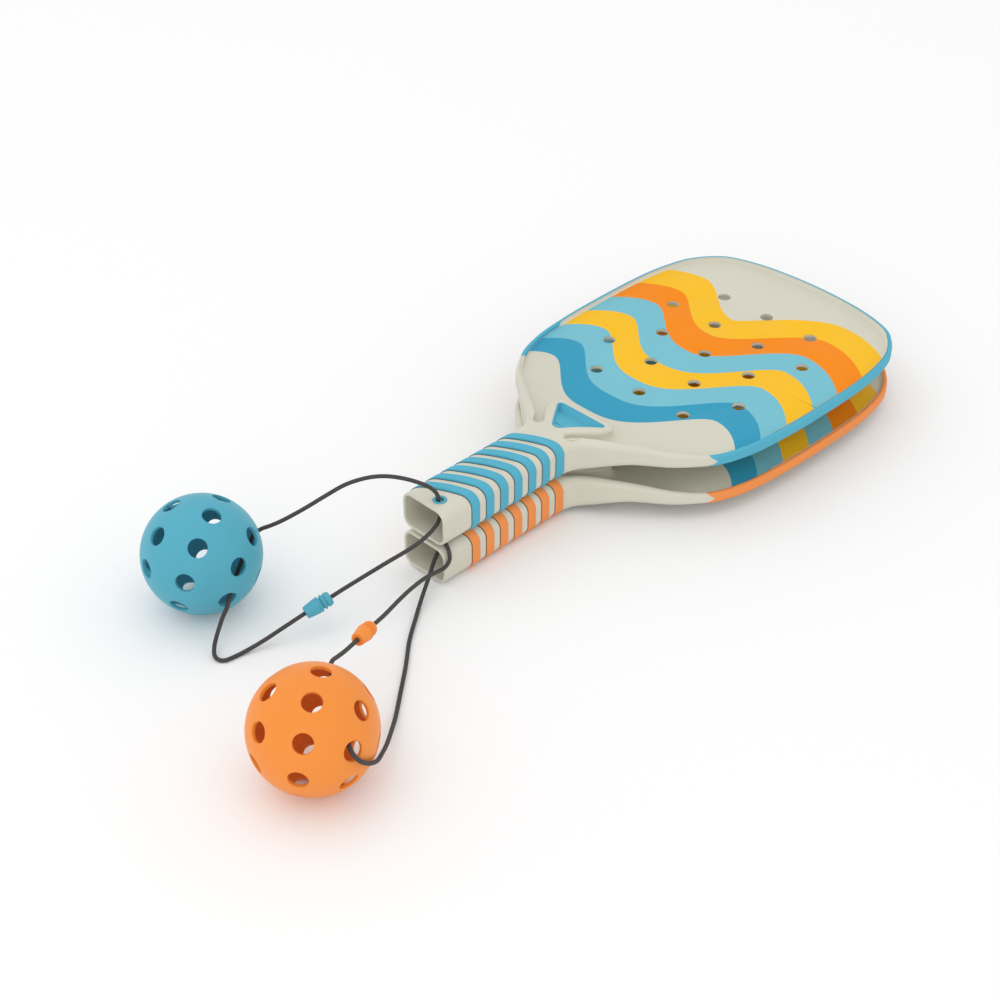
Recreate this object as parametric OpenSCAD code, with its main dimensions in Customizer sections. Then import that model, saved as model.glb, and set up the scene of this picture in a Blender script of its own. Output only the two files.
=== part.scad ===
// Paddle ball game: two paddles stacked on their grips, each with a ball on an elastic cord.
// The origin is under the lower grip, below its middle band. +X runs to the blade tips, +Z is up.
// Inside the modules x is counted from the butt of the grip, z from the surface below.

/* [Paddle] */
// length from the butt to the blade tip
paddle_len = 388.5; // [370:0.5:410]
// widest part of the blade
blade_w = 201; // [185:1:215]
// height of the rim round the blade
rim_h = 7.8; // [6:0.1:9]
// width of the rim on the face
rim_w = 3.3; // [2.8:0.1:5]
// thickness of the blade inside the rim
plate_t = 2.6; // [2:0.1:3.6]
// outer wall of the soft edge guard
guard_wall = 1.2; // [0.8:0.1:1.6]
// depth of the chevron at the ends of the edge guard
chevron = 5; // [2:0.5:8]
// where the points of the chevron start, from the butt
chevron_x = 170.5; // [168:0.5:180]
// thickness of the printed film on the face
print_t = 0.3; // [0.2:0.05:0.6]
// diameter of the air holes
air_hole_d = 9; // [6:0.5:12]
// spacing of the air holes across the blade
air_pitch = 38.7; // [34:0.1:40]

/* [Grip] */
// width of the moulded grip
grip_w = 37.3; // [36:0.1:40]
// height of the moulded grip
grip_h = 26.3; // [25:0.1:28]
// corner radius of the grip
grip_r = 7.6; // [6:0.1:9]
// wall of the hollow grip
grip_wall = 2.1; // [1.6:0.1:2.5]
// how far the bands stand proud of the grip
band_proud = 1.5; // [1.4:0.1:2]
// length of a band along the grip
band_len = 7.5; // [5:0.1:9]
// step from band to band
band_step = 12.4; // [10:0.1:12.6]
// middle of the first band, from the butt
band_first = 18.8; // [18.5:0.1:20]
// turn of the bands across the grip, in degrees
band_turn = 22; // [0:1:22]

/* [Throat] */
// width of an arm where it leaves the grip
arm_w = 6.4; // [5.6:0.1:7]
// end of the hub between the arms, from the butt
hub_x = 148.5; // [147.5:0.5:150]
// half the width of the hub at its end
hub_half_w = 24.6; // [24:0.1:25.6]
// corner radius of the hub
hub_r = 6; // [5:0.1:7]
// tip of the thumb rest, from the butt
thumb_x = 115.5; // [115:0.5:118]
// length of the thumb rest
thumb_len = 28; // [25:0.5:28.5]
// width of the thumb rest at its wide end
thumb_w = 40; // [36:0.5:41]
// corner radius at its wide end
thumb_r = 3; // [2:0.1:3.5]
// radius of its tip
thumb_tip_r = 5; // [4:0.1:5.5]
// deepest place of the thumb rest
thumb_drop = 4.8; // [3.5:0.1:5.5]

/* [Balls and cords] */
// diameter of a ball
ball_d = 74; // [73:0.1:74.4]
// wall of a ball
ball_wall = 2.2; // [1.6:0.1:3]
// diameter of the holes in a ball
ball_hole_d = 11.7; // [10.5:0.1:12]
// diameter of the elastic cord
cord_d = 2.6; // [2:0.1:2.7]
// length of a closed clasp
clasp_len = 18; // [17:0.5:20]
// largest diameter of a clasp
clasp_d = 9.3; // [8.6:0.1:10]
// diameter of the hole in a grommet
grommet_bore = 5; // [4.8:0.1:5.2]
// diameter of a grommet's flange
grommet_d = 9; // [8.6:0.1:9.4]

/* [Hidden] */
// every fixed length below is a number times this
mm = 1;
// one cut runs past a surface by this much
over = 1 * mm;
$fn = 96;
cream = [0.84, 0.83, 0.77];
blue = [0.33, 0.70, 0.83];
orange = [0.98, 0.58, 0.31];
grey = [0.25, 0.25, 0.25];

// heights of one paddle above the surface that its bands rest on
grip_z = band_proud;
grip_top = grip_z + grip_h;
mid_z = grip_z + grip_h / 2;
stack_step = grip_h + 2 * band_proud;
face_z = mid_z + plate_t / 2;
back_z = mid_z - plate_t / 2;
rim_top = mid_z + rim_h / 2;
rim_low = mid_z - rim_h / 2;

// bands: the origin lies under the middle one
band_count = 7;
band_gap = 0.05 * mm;
last_band = band_first + band_step * (band_count - 1);
rest_x = (band_first + last_band) / 2;

// the neck spreads from just past the last band to the throat
neck_gap = 0.4 * mm;
neck_from = last_band + band_len / 2 + tan(band_turn) * grip_w / 2 + neck_gap;
neck_x = 112 * mm;
neck_w = 44 * mm;
neck_z = 8 * mm;
neck_r = 3 * mm;
low_x = 121 * mm;
// thickness of the end sections that the neck is drawn between
slice = 0.05 * mm;
// the tops of hub and arms slope down to the rim between these two places
slope_from = 118 * mm;
slope_to = 176 * mm;
slope_steps = 16;

// outline after the neck: [share of the length, share of half the blade width]
outline_shares = [
    [0.299, 0.267], [0.325, 0.404], [0.361, 0.573], [0.388, 0.695], [0.424, 0.805], [0.457, 0.885],
    [0.494, 0.934], [0.539, 0.968], [0.619, 0.993], [0.699, 1.000], [0.769, 0.998], [0.830, 0.982],
    [0.888, 0.938], [0.920, 0.886], [0.947, 0.810], [0.969, 0.711], [0.986, 0.526], [0.996, 0.298],
    [1.000, 0.000]
];
span_steps = 4;
// straight pieces of a drawn corner, and how far round the corners of the hub go, in degrees
arc_steps = 8;
hub_sweep = 118;

// valley between hub and arm: from the arm round its blind end and along the side of the hub
valley = [
    [117.6, 19.2], [114.2, 17.2], [113, 14.6], [113.8, 12], [117.8, 12.6],
    [123.5, 16.8], [128.8, 20.4], [135.2, 23.2]
] * mm;

// thumb rest: depth of its seat, wall round its hollow
thumb_seat = 10.9 * mm;
thumb_wall = 0.9 * mm;

// air holes: number in each column, and the first and last column as shares of the length
air_rows = [3, 4, 3, 4, 3];
air_from_share = 0.5086;
air_to_share = 0.8537;

// printed film: where it starts, and its gap to the rim
film_x = 152 * mm;
film_gap = 0.2 * mm;

// grommet: place on the grip and proportions
grommet_at = [9.2, -5.4] * mm;
grommet_lip = 0.7 * mm;
grommet_edge = 0.8 * mm;
grommet_proud = 0.1 * mm;
barrel_d = 7 * mm;

// clasp: shares of its length and of its largest diameter, and the plug inside it
socket_len_share = 0.59;
socket_end_share = 0.78;
cap_share = 0.68;
plug_d = 4 * mm;
plug_len = 4 * mm;
plug_fit = 0.05 * mm;
rib_count = 4;
rib_depth = 0.4 * mm;

// holes in a ball: a ring at the equator, one ring each side, and one at each pole, by latitude
equator_holes = 10;
side_holes = 7;
side_latitude = 45;
side_turn = 23.2;
pole_latitude = 90;

// balls as they lie: place and turn
blue_ball_at = [-112.3, 76.2] * mm;
blue_ball_turn = [-65.2, 43.2, 51.4];
orange_ball_at = [-165.3, -88.5] * mm;
orange_ball_turn = [120.4, -74.9, 7.5];

// clasps as they lie: the end towards the ball, and a point towards the grip
blue_clasp = [[-88, 10.2, 15.1], [-71.5, 5.6, 20.7]] * mm;
orange_clasp = [[-107.8, -60.8, 49.2], [-91.6, -54.2, 45.2]] * mm;

// route of the upper cord from the grip end of its clasp to the ball end
blue_route = [
    [-60, 2.4, 24.6], [-35.4, -4.6, 32.4], [-22.3, -8.3, 36.2], [-13, -11.2, 40.2],
    [-6, -12.6, 44], [0.2, -11.8, 46.4], [4.6, -9.8, 47.9], [7.4, -7.3, 50], [8.4, -5.5, 53],
    [8.5, -4.9, 56], [8.3, -4.6, 60], [6.8, -3.3, 64], [3, -0.4, 68.4], [-4, 5.3, 73],
    [-11.4, 11.2, 76.2], [-18.7, 17.1, 77.5], [-26.4, 23.3, 76.5], [-35.4, 30.6, 72.6],
    [-45, 38.4, 65], [-55, 46.5, 56.6], [-65, 54.7, 49], [-71, 59.6, 45.4], [-77, 63.6, 43],
    [-84, 63, 40.4], [-98, 55.8, 35], [-112, 47.8, 29], [-118, 44.3, 24.2],
    [-121.8, 42.2, 20.2], [-126.6, 41, 15.8], [-132, 39, 10.2], [-137, 36.2, 6],
    [-140.2, 33.4, 3.8], [-142, 31, 2.2], [-142.6, 28.2, 1.6], [-141.9, 25.5, 1.4],
    [-140.3, 23.9, 1.4], [-138.4, 23, 1.4], [-128.5, 21.3, 1.7], [-115.3, 17.9, 5], [-101.8, 14.1, 10]
] * mm;

// route of the lower cord, out over the side of the grip and back from under it
orange_route = [
    [-86, -52.1, 43.8], [-74, -47.2, 40.6], [-59, -41.2, 37.8], [-44, -35.2, 34.2],
    [-27.4, -28.4, 28.6], [-17.3, -24.6, 24.2], [-9, -21.8, 20.6], [-3.4, -20.9, 19.2],
    [0.6, -20.6, 20.4], [2.6, -20.4, 23.4], [3.4, -19.2, 26.6], [4.6, -16.6, 28.7],
    [6, -13, 29.3], [7.9, -8.7, 29.3], [8.8, -6.6, 28.7], [9.4, -5, 26.8], [9.6, -4.4, 24.1],
    [8.6, -5, 21.3], [6.2, -5.9, 18.8], [3, -6.9, 16.4], [-0.6, -8.4, 13.8], [-4.8, -10.5, 10.8],
    [-9.6, -12.8, 7.8], [-15.4, -15.9, 5.2], [-23, -20.5, 3], [-32, -26.7, 1.8], [-50, -40, 1.4],
    [-68, -56, 1.4], [-86, -71, 1.5], [-101.5, -84, 2.4], [-113.5, -94, 6.4],
    [-123.6, -102.8, 12], [-132, -110, 17], [-140.4, -116.6, 22], [-149.2, -122.8, 26.6],
    [-156.2, -126.2, 31.4], [-162.2, -127.5, 36.4], [-166.4, -127.2, 41.2], [-168, -124.6, 45.2],
    [-166.4, -119.4, 47.6], [-160.8, -108.6, 50], [-150, -91.4, 54.4], [-144, -81.4, 57.2],
    [-140.4, -76, 58.9], [-136, -72.6, 58.6], [-129.6, -69.6, 55.8], [-121.7, -66.3, 52.8]
] * mm;
cord_sides = 8;

// smooth curve through b and c, with a and d as their outer neighbours
function curve_point(a, b, c, d, t) = b + (c - a) * t / 2
    + (2 * a - 5 * b + 4 * c - d) * t * t / 2
    + (3 * b - a - 3 * c + d) * t * t * t / 2;

// even ease from 0 to 1 as v goes from start to end
function share_between(v, start, end) = max(0, min(1, (v - start) / (end - start)));
function eased(v, start, end) = let (s = share_between(v, start, end)) s * s * (3 - 2 * s);

function direction(v) = v / norm(v);

// half outline from the neck to the tip, then the whole one, round the tip and back
outline_nodes = concat([[neck_x, neck_w / 2]],
    [for (s = outline_shares) [s[0] * paddle_len, s[1] * blade_w / 2]]);
function mirrored(p) = [p[0], -p[1]];
function node_at(i) = i < 0 ? 2 * outline_nodes[0] - outline_nodes[1]
    : i < len(outline_nodes) ? outline_nodes[i]
    : mirrored(outline_nodes[2 * len(outline_nodes) - 2 - i]);
half_outline = [for (i = [0 : len(outline_nodes) - 2]) for (j = [0 : span_steps - 1])
    curve_point(node_at(i - 1), node_at(i), node_at(i + 1), node_at(i + 2), j / span_steps)];
tip = [[paddle_len, 0]];
outline = concat(half_outline, tip,
    [for (i = [len(half_outline) - 1 : -1 : 0]) mirrored(half_outline[i])]);

// direction into the blade at point i of the outline
function inward(i) = let (
    a = outline[max(i - 1, 0)],
    b = outline[min(i + 1, len(outline) - 1)],
    d = direction(b - a)) [d[1], -d[0]];

// width of the rim on the face at x: an arm at the throat, the plain rim on the blade
function rim_at(x) = arm_w + (rim_w - arm_w) * eased(x, slope_from, slope_to);

// height of the top surface at x
function top_at(x) = grip_top + (rim_top - grip_top) * eased(x, slope_from, slope_to);

function arc(centre, r, from, to) =
    [for (i = [0 : arc_steps])
        let (a = from + (to - from) * i / arc_steps) centre + r * [cos(a), sin(a)]];

// plan shape of the whole blade drawn in by a fixed depth
module blade_shape(depth) {
    polygon([for (i = [0 : len(outline) - 1]) outline[i] + inward(i) * depth]);
}

// plan shape of the hollow in the face: inside the arms and rim, round the hub
module face_shape(gap) {
    inner = [for (i = [1 : len(outline) - 2]) outline[i] + inward(i) * (rim_at(outline[i][0]) + gap)];
    hub_corner = [hub_x - hub_r, hub_half_w - hub_r];
    polygon(concat(
        arc(hub_corner, hub_r, 0, hub_sweep),
        [for (i = [len(valley) - 1 : -1 : 0]) valley[i]],
        [for (p = inner) if (p[0] > valley[0][0] + over) p],
        [for (p = valley) mirrored(p)],
        [for (p = arc(hub_corner, hub_r, hub_sweep, 0)) mirrored(p)]));
}

module rounded_section(w, h, r) {
    square([w - 2 * r, h], center = true);
    square([w, h - 2 * r], center = true);
    for (x = [-1, 1], y = [-1, 1])
        translate([x * (w / 2 - r), y * (h / 2 - r)])
            circle(r);
}

// bar along X from x on, with its middle at height z
module bar(x, z, length, w, h, r) {
    translate([x, 0, z])
        rotate([90, 0, 90])
            linear_extrude(length)
                rounded_section(w, h, r);
}

// solid with the given side view, right across the blade
module side_view(points) {
    translate([0, blade_w / 2 + over, 0])
        rotate([90, 0, 0])
            linear_extrude(blade_w + 2 * over)
                polygon(points);
}

// side view of throat and blade
module side_solid() {
    side_view(concat(
        [[neck_x, neck_z], [neck_x, grip_top]],
        [for (i = [0 : slope_steps])
            let (x = slope_from + (slope_to - slope_from) * i / slope_steps) [x, top_at(x)]],
        [[paddle_len + over, rim_top], [paddle_len + over, rim_low], [low_x, rim_low]]));
}

// everything past the chevron at the ends of the edge guard
module past_chevron() {
    side_view([
        [chevron_x, rim_top + rim_h], [chevron_x, rim_top], [chevron_x + chevron, mid_z],
        [chevron_x, rim_low], [chevron_x, rim_low - over],
        [paddle_len + over, rim_low - over], [paddle_len + over, rim_top + rim_h]
    ]);
}

// the edge of the plate that the guard grips
module plate_edge() {
    translate([0, 0, back_z])
        linear_extrude(plate_t)
            blade_shape(guard_wall);
}

module air_holes(z, height) {
    column_step = (air_to_share - air_from_share) / (len(air_rows) - 1);
    for (i = [0 : len(air_rows) - 1])
        for (j = [0 : air_rows[i] - 1])
            translate([
                paddle_len * (air_from_share + column_step * i),
                air_pitch * (j - (air_rows[i] - 1) / 2), z
            ])
                cylinder(h = height, d = air_hole_d);
}

// rounded triangle of the thumb rest, drawn in by a fixed depth
module thumb_shape(depth) {
    r = thumb_r - depth;
    tip_x = thumb_x + thumb_tip_r;
    base_x = thumb_x + thumb_len - thumb_r;
    base_y = thumb_w / 2 - thumb_r;
    reach = norm([base_x - tip_x, base_y]);
    angle = atan2(base_y, base_x - tip_x) - asin((thumb_tip_r - thumb_r) / reach);
    polygon(concat(
        arc([base_x, -base_y], r, -90 - angle, 0),
        arc([base_x, base_y], r, 0, 90 + angle),
        arc([tip_x, 0], thumb_tip_r - depth, 90 + angle, 270 - angle)));
}

// cream moulding: hollow grip, neck, hub and arms, and the thin blade
module paddle() {
    color(cream)
    difference() {
        union() {
            bar(0, mid_z, neck_x, grip_w, grip_h, grip_r);
            hull() {
                bar(neck_from, mid_z, slice, grip_w, grip_h, grip_r);
                bar(neck_x, (grip_top + neck_z) / 2, slice, neck_w, grip_top - neck_z, neck_r);
            }
            intersection() {
                translate([0, 0, grip_z])
                    linear_extrude(grip_h)
                        blade_shape(0);
                side_solid();
            }
        }
        bar(-over, mid_z, neck_from, grip_w - 2 * grip_wall, grip_h - 2 * grip_wall, grip_r - grip_wall);
        translate([0, 0, face_z])
            linear_extrude(grip_h)
                face_shape(0);
        translate([0, 0, rim_low - over])
            linear_extrude(back_z - rim_low + over)
                intersection() {
                    blade_shape(rim_w);
                    translate([film_x, -blade_w / 2])
                        square([paddle_len, blade_w]);
                }
        translate([0, 0, grip_top - thumb_seat])
            linear_extrude(thumb_seat + over)
                thumb_shape(0);
        air_holes(back_z - over, plate_t + 2 * over);
        translate([grommet_at[0], grommet_at[1], grip_top - grommet_edge])
            cylinder(h = grommet_edge + over, d = grommet_d);
        translate([grommet_at[0], grommet_at[1], grip_top - grip_wall - over])
            cylinder(h = grip_wall + over, d = barrel_d);
        difference() {
            past_chevron();
            translate([0, 0, rim_low - 2 * over])
                linear_extrude(rim_h + grip_h)
                    blade_shape(rim_w);
            plate_edge();
        }
    }
}

// soft channel round the rim of the blade, with chevron ends at the arms
module edge_guard(hue) {
    color(hue)
    difference() {
        intersection() {
            translate([0, 0, rim_low])
                linear_extrude(grip_h)
                    blade_shape(0);
            side_solid();
            past_chevron();
        }
        translate([0, 0, rim_low - over])
            linear_extrude(rim_h + grip_h)
                blade_shape(rim_w);
        plate_edge();
    }
}

// printed film on the face
module face_print(hue) {
    color(hue)
    difference() {
        translate([0, 0, face_z])
            linear_extrude(print_t)
                intersection() {
                    face_shape(film_gap);
                    translate([film_x, -blade_w / 2])
                        square([paddle_len, blade_w]);
                }
        air_holes(face_z - over, print_t + 2 * over);
    }
}

// hollowed thumb rest set into the hub
module thumb_rest(hue) {
    base_x = thumb_x + thumb_len - thumb_wall;
    foot_x = base_x - thumb_drop;
    color(hue)
    difference() {
        translate([0, 0, grip_top - thumb_seat])
            linear_extrude(thumb_seat)
                thumb_shape(0);
        side_view([
            [thumb_x - over, grip_top + over], [thumb_x - over, grip_top], [slope_from, grip_top],
            for (i = [1 : slope_steps])
                let (x = slope_from + (slope_to - slope_from) * i / slope_steps) [x, top_at(x)],
            [slope_to, grip_top + over]
        ]);
        intersection() {
            translate([0, 0, grip_top - thumb_seat])
                linear_extrude(thumb_seat + over)
                    thumb_shape(thumb_wall);
            side_view([
                [thumb_x + thumb_wall, grip_top], [foot_x, top_at(foot_x) - thumb_drop],
                [base_x, top_at(base_x)], [base_x, grip_top + over],
                [thumb_x + thumb_wall, grip_top + over]
            ]);
        }
    }
}

// flanged ring that the cord runs through
module grommet(hue) {
    bore = grommet_bore / 2;
    color(hue)
    translate([grommet_at[0], grommet_at[1], grip_top])
        rotate_extrude()
            polygon([
                [bore + grommet_edge, grommet_proud], [grommet_d / 2, grommet_proud],
                [grommet_d / 2, -grommet_edge], [barrel_d / 2, -grommet_edge],
                [barrel_d / 2, -grip_wall], [grommet_d / 2 - grommet_proud, -grip_wall],
                [grommet_d / 2 - grommet_proud, -grip_wall - grommet_lip],
                [bore + grommet_lip, -grip_wall - grommet_lip], [bore, -grip_wall],
                [bore, -grommet_edge]
            ]);
}

// one soft band round the grip
module grip_band(i, hue) {
    color(hue)
    intersection() {
        difference() {
            bar(0, mid_z, neck_x, grip_w + 2 * band_proud, stack_step, grip_r + band_proud);
            bar(-over, mid_z, neck_x + 2 * over, grip_w + 2 * band_gap, grip_h + 2 * band_gap, grip_r);
        }
        translate([band_first + i * band_step, 0, mid_z])
            rotate([0, 0, band_turn])
                cube([band_len * cos(band_turn), blade_w, blade_w], center = true);
    }
}

// hollow ball with round holes, before it is laid down
module ball(at, turn, hue) {
    color(hue)
    translate([at[0], at[1], ball_d / 2])
        rotate(turn)
            difference() {
                sphere(d = ball_d);
                sphere(d = ball_d - 2 * ball_wall);
                for (i = [0 : equator_holes - 1])
                    ball_hole(0, i * 360 / equator_holes);
                for (i = [0 : side_holes - 1], side = [-1, 1])
                    ball_hole(side * side_latitude, side_turn + i * 360 / side_holes);
                for (side = [-1, 1])
                    ball_hole(side * pole_latitude, 0);
            }
}

module ball_hole(latitude, longitude) {
    rotate([0, 90 - latitude, longitude])
        translate([0, 0, ball_d / 2 - 2 * ball_wall])
            cylinder(h = 2 * ball_wall + over, d = ball_hole_d);
}

// puts its children on a clasp's axis, with +Z from the ball end to the grip end
module on_clasp(clasp) {
    d = direction(clasp[1] - clasp[0]);
    translate(clasp[0])
        rotate([0, acos(d[2]), atan2(d[1], d[0])])
            children();
}

// tapered half of a clasp, on the ball's side
module clasp_socket(clasp, hue) {
    r = clasp_d / 2;
    length = clasp_len * socket_len_share;
    color(hue)
    on_clasp(clasp)
        rotate_extrude()
            polygon([
                [0, 0], [r * socket_end_share - cord_d / 4, 0], [r * socket_end_share, cord_d / 4],
                [r, length - cord_d / 2], [r - cord_d / 4, length],
                [plug_d / 2 + plug_fit, length], [plug_d / 2 + plug_fit, length - plug_len - plug_fit],
                [0, length - plug_len - plug_fit]
            ]);
}

// ribbed half of a clasp with its plug, on the grip's side
module clasp_cap(clasp, hue) {
    r = clasp_d * cap_share / 2;
    from = clasp_len * socket_len_share;
    rib = (clasp_len - from) / (2 * rib_count + 1);
    color(hue)
    on_clasp(clasp)
        rotate_extrude()
            polygon(concat(
                [[0, from - plug_len], [plug_d / 2, from - plug_len], [plug_d / 2, from]],
                [for (i = [0 : 2 * rib_count]) for (e = [0, 1])
                    [i % 2 == 0 ? r : r - rib_depth, from + (i + e) * rib]],
                [[0, clasp_len]]));
}

// elastic cord: a tube of flat sides along its route, square to the clasp at both ends
function along(route, i) = direction(route[min(i + 1, len(route) - 1)] - route[max(i - 1, 0)]);
function across(route, i, last) = direction(last - along(route, i) * (last * along(route, i)));
function side_vectors(route) = [for (
    i = 0, v = across(route, 0, [0, 0, 1]);
    i < len(route);
    i = i + 1, v = across(route, min(i, len(route) - 1), v)) v];

module cord(clasp, route, hue) {
    d = direction(clasp[1] - clasp[0]);
    grip_end = clasp[0] + d * clasp_len;
    path = concat([grip_end, grip_end + d * cord_d], route, [clasp[0] - d * cord_d, clasp[0]]);
    sides = side_vectors(path);
    points = [for (i = [0 : len(path) - 1])
        let (u = across(path, i, sides[i]), v = cross(along(path, i), u))
            for (k = [0 : cord_sides - 1])
                path[i] + (u * cos(360 * k / cord_sides) + v * sin(360 * k / cord_sides)) * cord_d / 2];
    last = (len(path) - 1) * cord_sides;
    color(hue)
    polyhedron(points, concat(
        [[for (k = [0 : cord_sides - 1]) k]],
        [[for (k = [cord_sides - 1 : -1 : 0]) last + k]],
        [for (i = [0 : len(path) - 2]) for (k = [0 : cord_sides - 1])
            let (a = i * cord_sides, n = (k + 1) % cord_sides) [a + k, a + cord_sides + k, a + cord_sides + n]],
        [for (i = [0 : len(path) - 2]) for (k = [0 : cord_sides - 1])
            let (a = i * cord_sides, n = (k + 1) % cord_sides) [a + k, a + cord_sides + n, a + n]]));
}

// moves its children from the butt of the grip to the origin, and up by whole paddles
module placed(level) {
    translate([-rest_x, 0, level * stack_step])
        children();
}

placed(0) paddle();  // orange_paddle
placed(0) edge_guard(orange);  // orange_edge_guard
placed(0) face_print(orange);  // orange_face_print
placed(0) thumb_rest(orange);  // orange_thumb_rest
placed(0) grommet(orange);  // orange_grommet
placed(0) grip_band(0, orange);  // orange_grip_band_1
placed(0) grip_band(1, orange);  // orange_grip_band_2
placed(0) grip_band(2, orange);  // orange_grip_band_3
placed(0) grip_band(3, orange);  // orange_grip_band_4
placed(0) grip_band(4, orange);  // orange_grip_band_5
placed(0) grip_band(5, orange);  // orange_grip_band_6
placed(0) grip_band(6, orange);  // orange_grip_band_7
placed(0) ball(orange_ball_at, orange_ball_turn, orange);  // orange_ball
placed(0) clasp_socket(orange_clasp, orange);  // orange_clasp_socket
placed(0) clasp_cap(orange_clasp, orange);  // orange_clasp_cap
placed(0) cord(orange_clasp, orange_route, grey);  // orange_cord
placed(1) paddle();  // blue_paddle
placed(1) edge_guard(blue);  // blue_edge_guard
placed(1) face_print(blue);  // blue_face_print
placed(1) thumb_rest(blue);  // blue_thumb_rest
placed(1) grommet(blue);  // blue_grommet
placed(1) grip_band(0, blue);  // blue_grip_band_1
placed(1) grip_band(1, blue);  // blue_grip_band_2
placed(1) grip_band(2, blue);  // blue_grip_band_3
placed(1) grip_band(3, blue);  // blue_grip_band_4
placed(1) grip_band(4, blue);  // blue_grip_band_5
placed(1) grip_band(5, blue);  // blue_grip_band_6
placed(1) grip_band(6, blue);  // blue_grip_band_7
placed(0) ball(blue_ball_at, blue_ball_turn, blue);  // blue_ball
placed(0) clasp_socket(blue_clasp, blue);  // blue_clasp_socket
placed(0) clasp_cap(blue_clasp, blue);  // blue_clasp_cap
placed(0) cord(blue_clasp, blue_route, grey);  // blue_cord
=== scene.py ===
import math

import bmesh
import bpy
import numpy as np
from mathutils import Matrix, Vector, geometry


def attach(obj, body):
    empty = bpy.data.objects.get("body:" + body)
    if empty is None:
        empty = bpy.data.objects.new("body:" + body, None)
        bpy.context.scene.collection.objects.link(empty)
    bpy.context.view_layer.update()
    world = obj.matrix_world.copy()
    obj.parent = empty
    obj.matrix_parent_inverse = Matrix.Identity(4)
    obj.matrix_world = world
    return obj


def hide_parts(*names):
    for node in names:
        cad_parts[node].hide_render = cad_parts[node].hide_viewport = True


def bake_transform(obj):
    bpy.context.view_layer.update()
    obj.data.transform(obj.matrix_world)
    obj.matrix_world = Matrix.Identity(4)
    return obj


# Two paddles stacked on their grips, each with a holed ball on an elastic cord loop.
# Lengths are in millimetres, with x from the butt of the grips and z from the floor, until in_frame()
# puts them in the part's frame, in metres.

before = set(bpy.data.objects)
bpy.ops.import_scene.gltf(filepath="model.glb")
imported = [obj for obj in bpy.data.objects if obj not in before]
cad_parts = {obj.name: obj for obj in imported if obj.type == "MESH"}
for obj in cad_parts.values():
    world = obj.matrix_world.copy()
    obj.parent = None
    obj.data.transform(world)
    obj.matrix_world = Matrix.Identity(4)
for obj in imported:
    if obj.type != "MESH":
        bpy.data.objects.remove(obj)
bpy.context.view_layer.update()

REST_X = 56.0
STACK_STEP = 29.3
LEVELS = {"orange": 0.0, "blue": STACK_STEP}


def in_frame(points):
    """Millimetres from the butt to metres from the point under the middle band: (x - 56, y, z) / 1000."""
    return (np.asarray(points, float) - (REST_X, 0.0, 0.0)) * 0.001


def add_object(name, data):
    """Makes an object of the data and puts it in the scene."""
    thing = bpy.data.objects.new(name, data)
    bpy.context.scene.collection.objects.link(thing)
    return thing


# Camera

def aim_camera(azimuth, elevation, roll, place, lens):
    """Looks along minus (sin a cos e, -cos a cos e, sin e), turned by the roll about that line."""
    a, e, r = (math.radians(v) for v in (azimuth, elevation, roll))
    back = Vector((math.sin(a) * math.cos(e), -math.cos(a) * math.cos(e), math.sin(e)))
    right = Vector((math.cos(a), math.sin(a), 0.0))
    up = back.cross(right)
    right, up = right * math.cos(r) + up * math.sin(r), up * math.cos(r) - right * math.sin(r)
    data = bpy.data.cameras.new("camera")
    data.sensor_width = 36.0
    data.lens = lens
    camera = add_object("camera", data)
    camera.matrix_world = Matrix.Translation(place) @ Matrix((right, up, back)).transposed().to_4x4()
    bpy.context.scene.camera = camera


aim_camera(-44.95, 36.68, 0.09, (-0.7201, -0.7318, 0.7942), 72.864)


# Curves in numpy

def smooth_line(points, steps, closed=False):
    """Catmull-Rom curve: each span b to c is b + (c-a)t/2 + (2a-5b+4c-d)t^2/2 + (3b-a-3c+d)t^3/2."""
    p = np.asarray(points, float)
    if closed:
        q = np.concatenate([p[-1:], p, p[:2]])
    else:
        q = np.concatenate([[2 * p[0] - p[1]], p, [2 * p[-1] - p[-2]]])
    a, b, c, d = (q[i:len(q) - 3 + i, None] for i in range(4))
    t = (np.arange(steps) / steps)[None, :, None]
    cubic = 3 * b - a - 3 * c + d
    curve = b + (c - a) * t / 2 + (2 * a - 5 * b + 4 * c - d) * t ** 2 / 2 + cubic * t ** 3 / 2
    curve = curve.reshape(-1, p.shape[1])
    return curve if closed else np.concatenate([curve, p[-1:]])


def distances(line):
    """Length along a line of points, from 0 at its first point."""
    return np.concatenate([[0.0], np.cumsum(np.linalg.norm(np.diff(line, axis=0), axis=1))])


def at_distances(line, where):
    """Points of a line at the given lengths along it."""
    d = distances(line)
    return np.stack([np.interp(where, d, line[:, k]) for k in range(line.shape[1])], axis=-1)


def evenly(line, step):
    """The same line with points at an even spacing of about step."""
    total = distances(line)[-1]
    return at_distances(line, np.linspace(0.0, total, max(2, round(total / step) + 1)))


def ease(value, start, end):
    """Smoothstep s*s*(3-2s) of value between start and end."""
    s = np.clip((np.asarray(value, float) - start) / (end - start), 0.0, 1.0)
    return s * s * (3 - 2 * s)


def unit(v):
    """Each vector divided by its length."""
    return v / np.linalg.norm(v, axis=-1, keepdims=True)


def quarter(steps):
    """Pairs (1 - sin a, 1 - cos a) for a from 0 to 90 degrees, as a rounded edge needs them."""
    return [(1 - math.sin(a), 1 - math.cos(a)) for a in np.radians(np.linspace(0, 90, steps + 1))]


# Cords' routes

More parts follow.
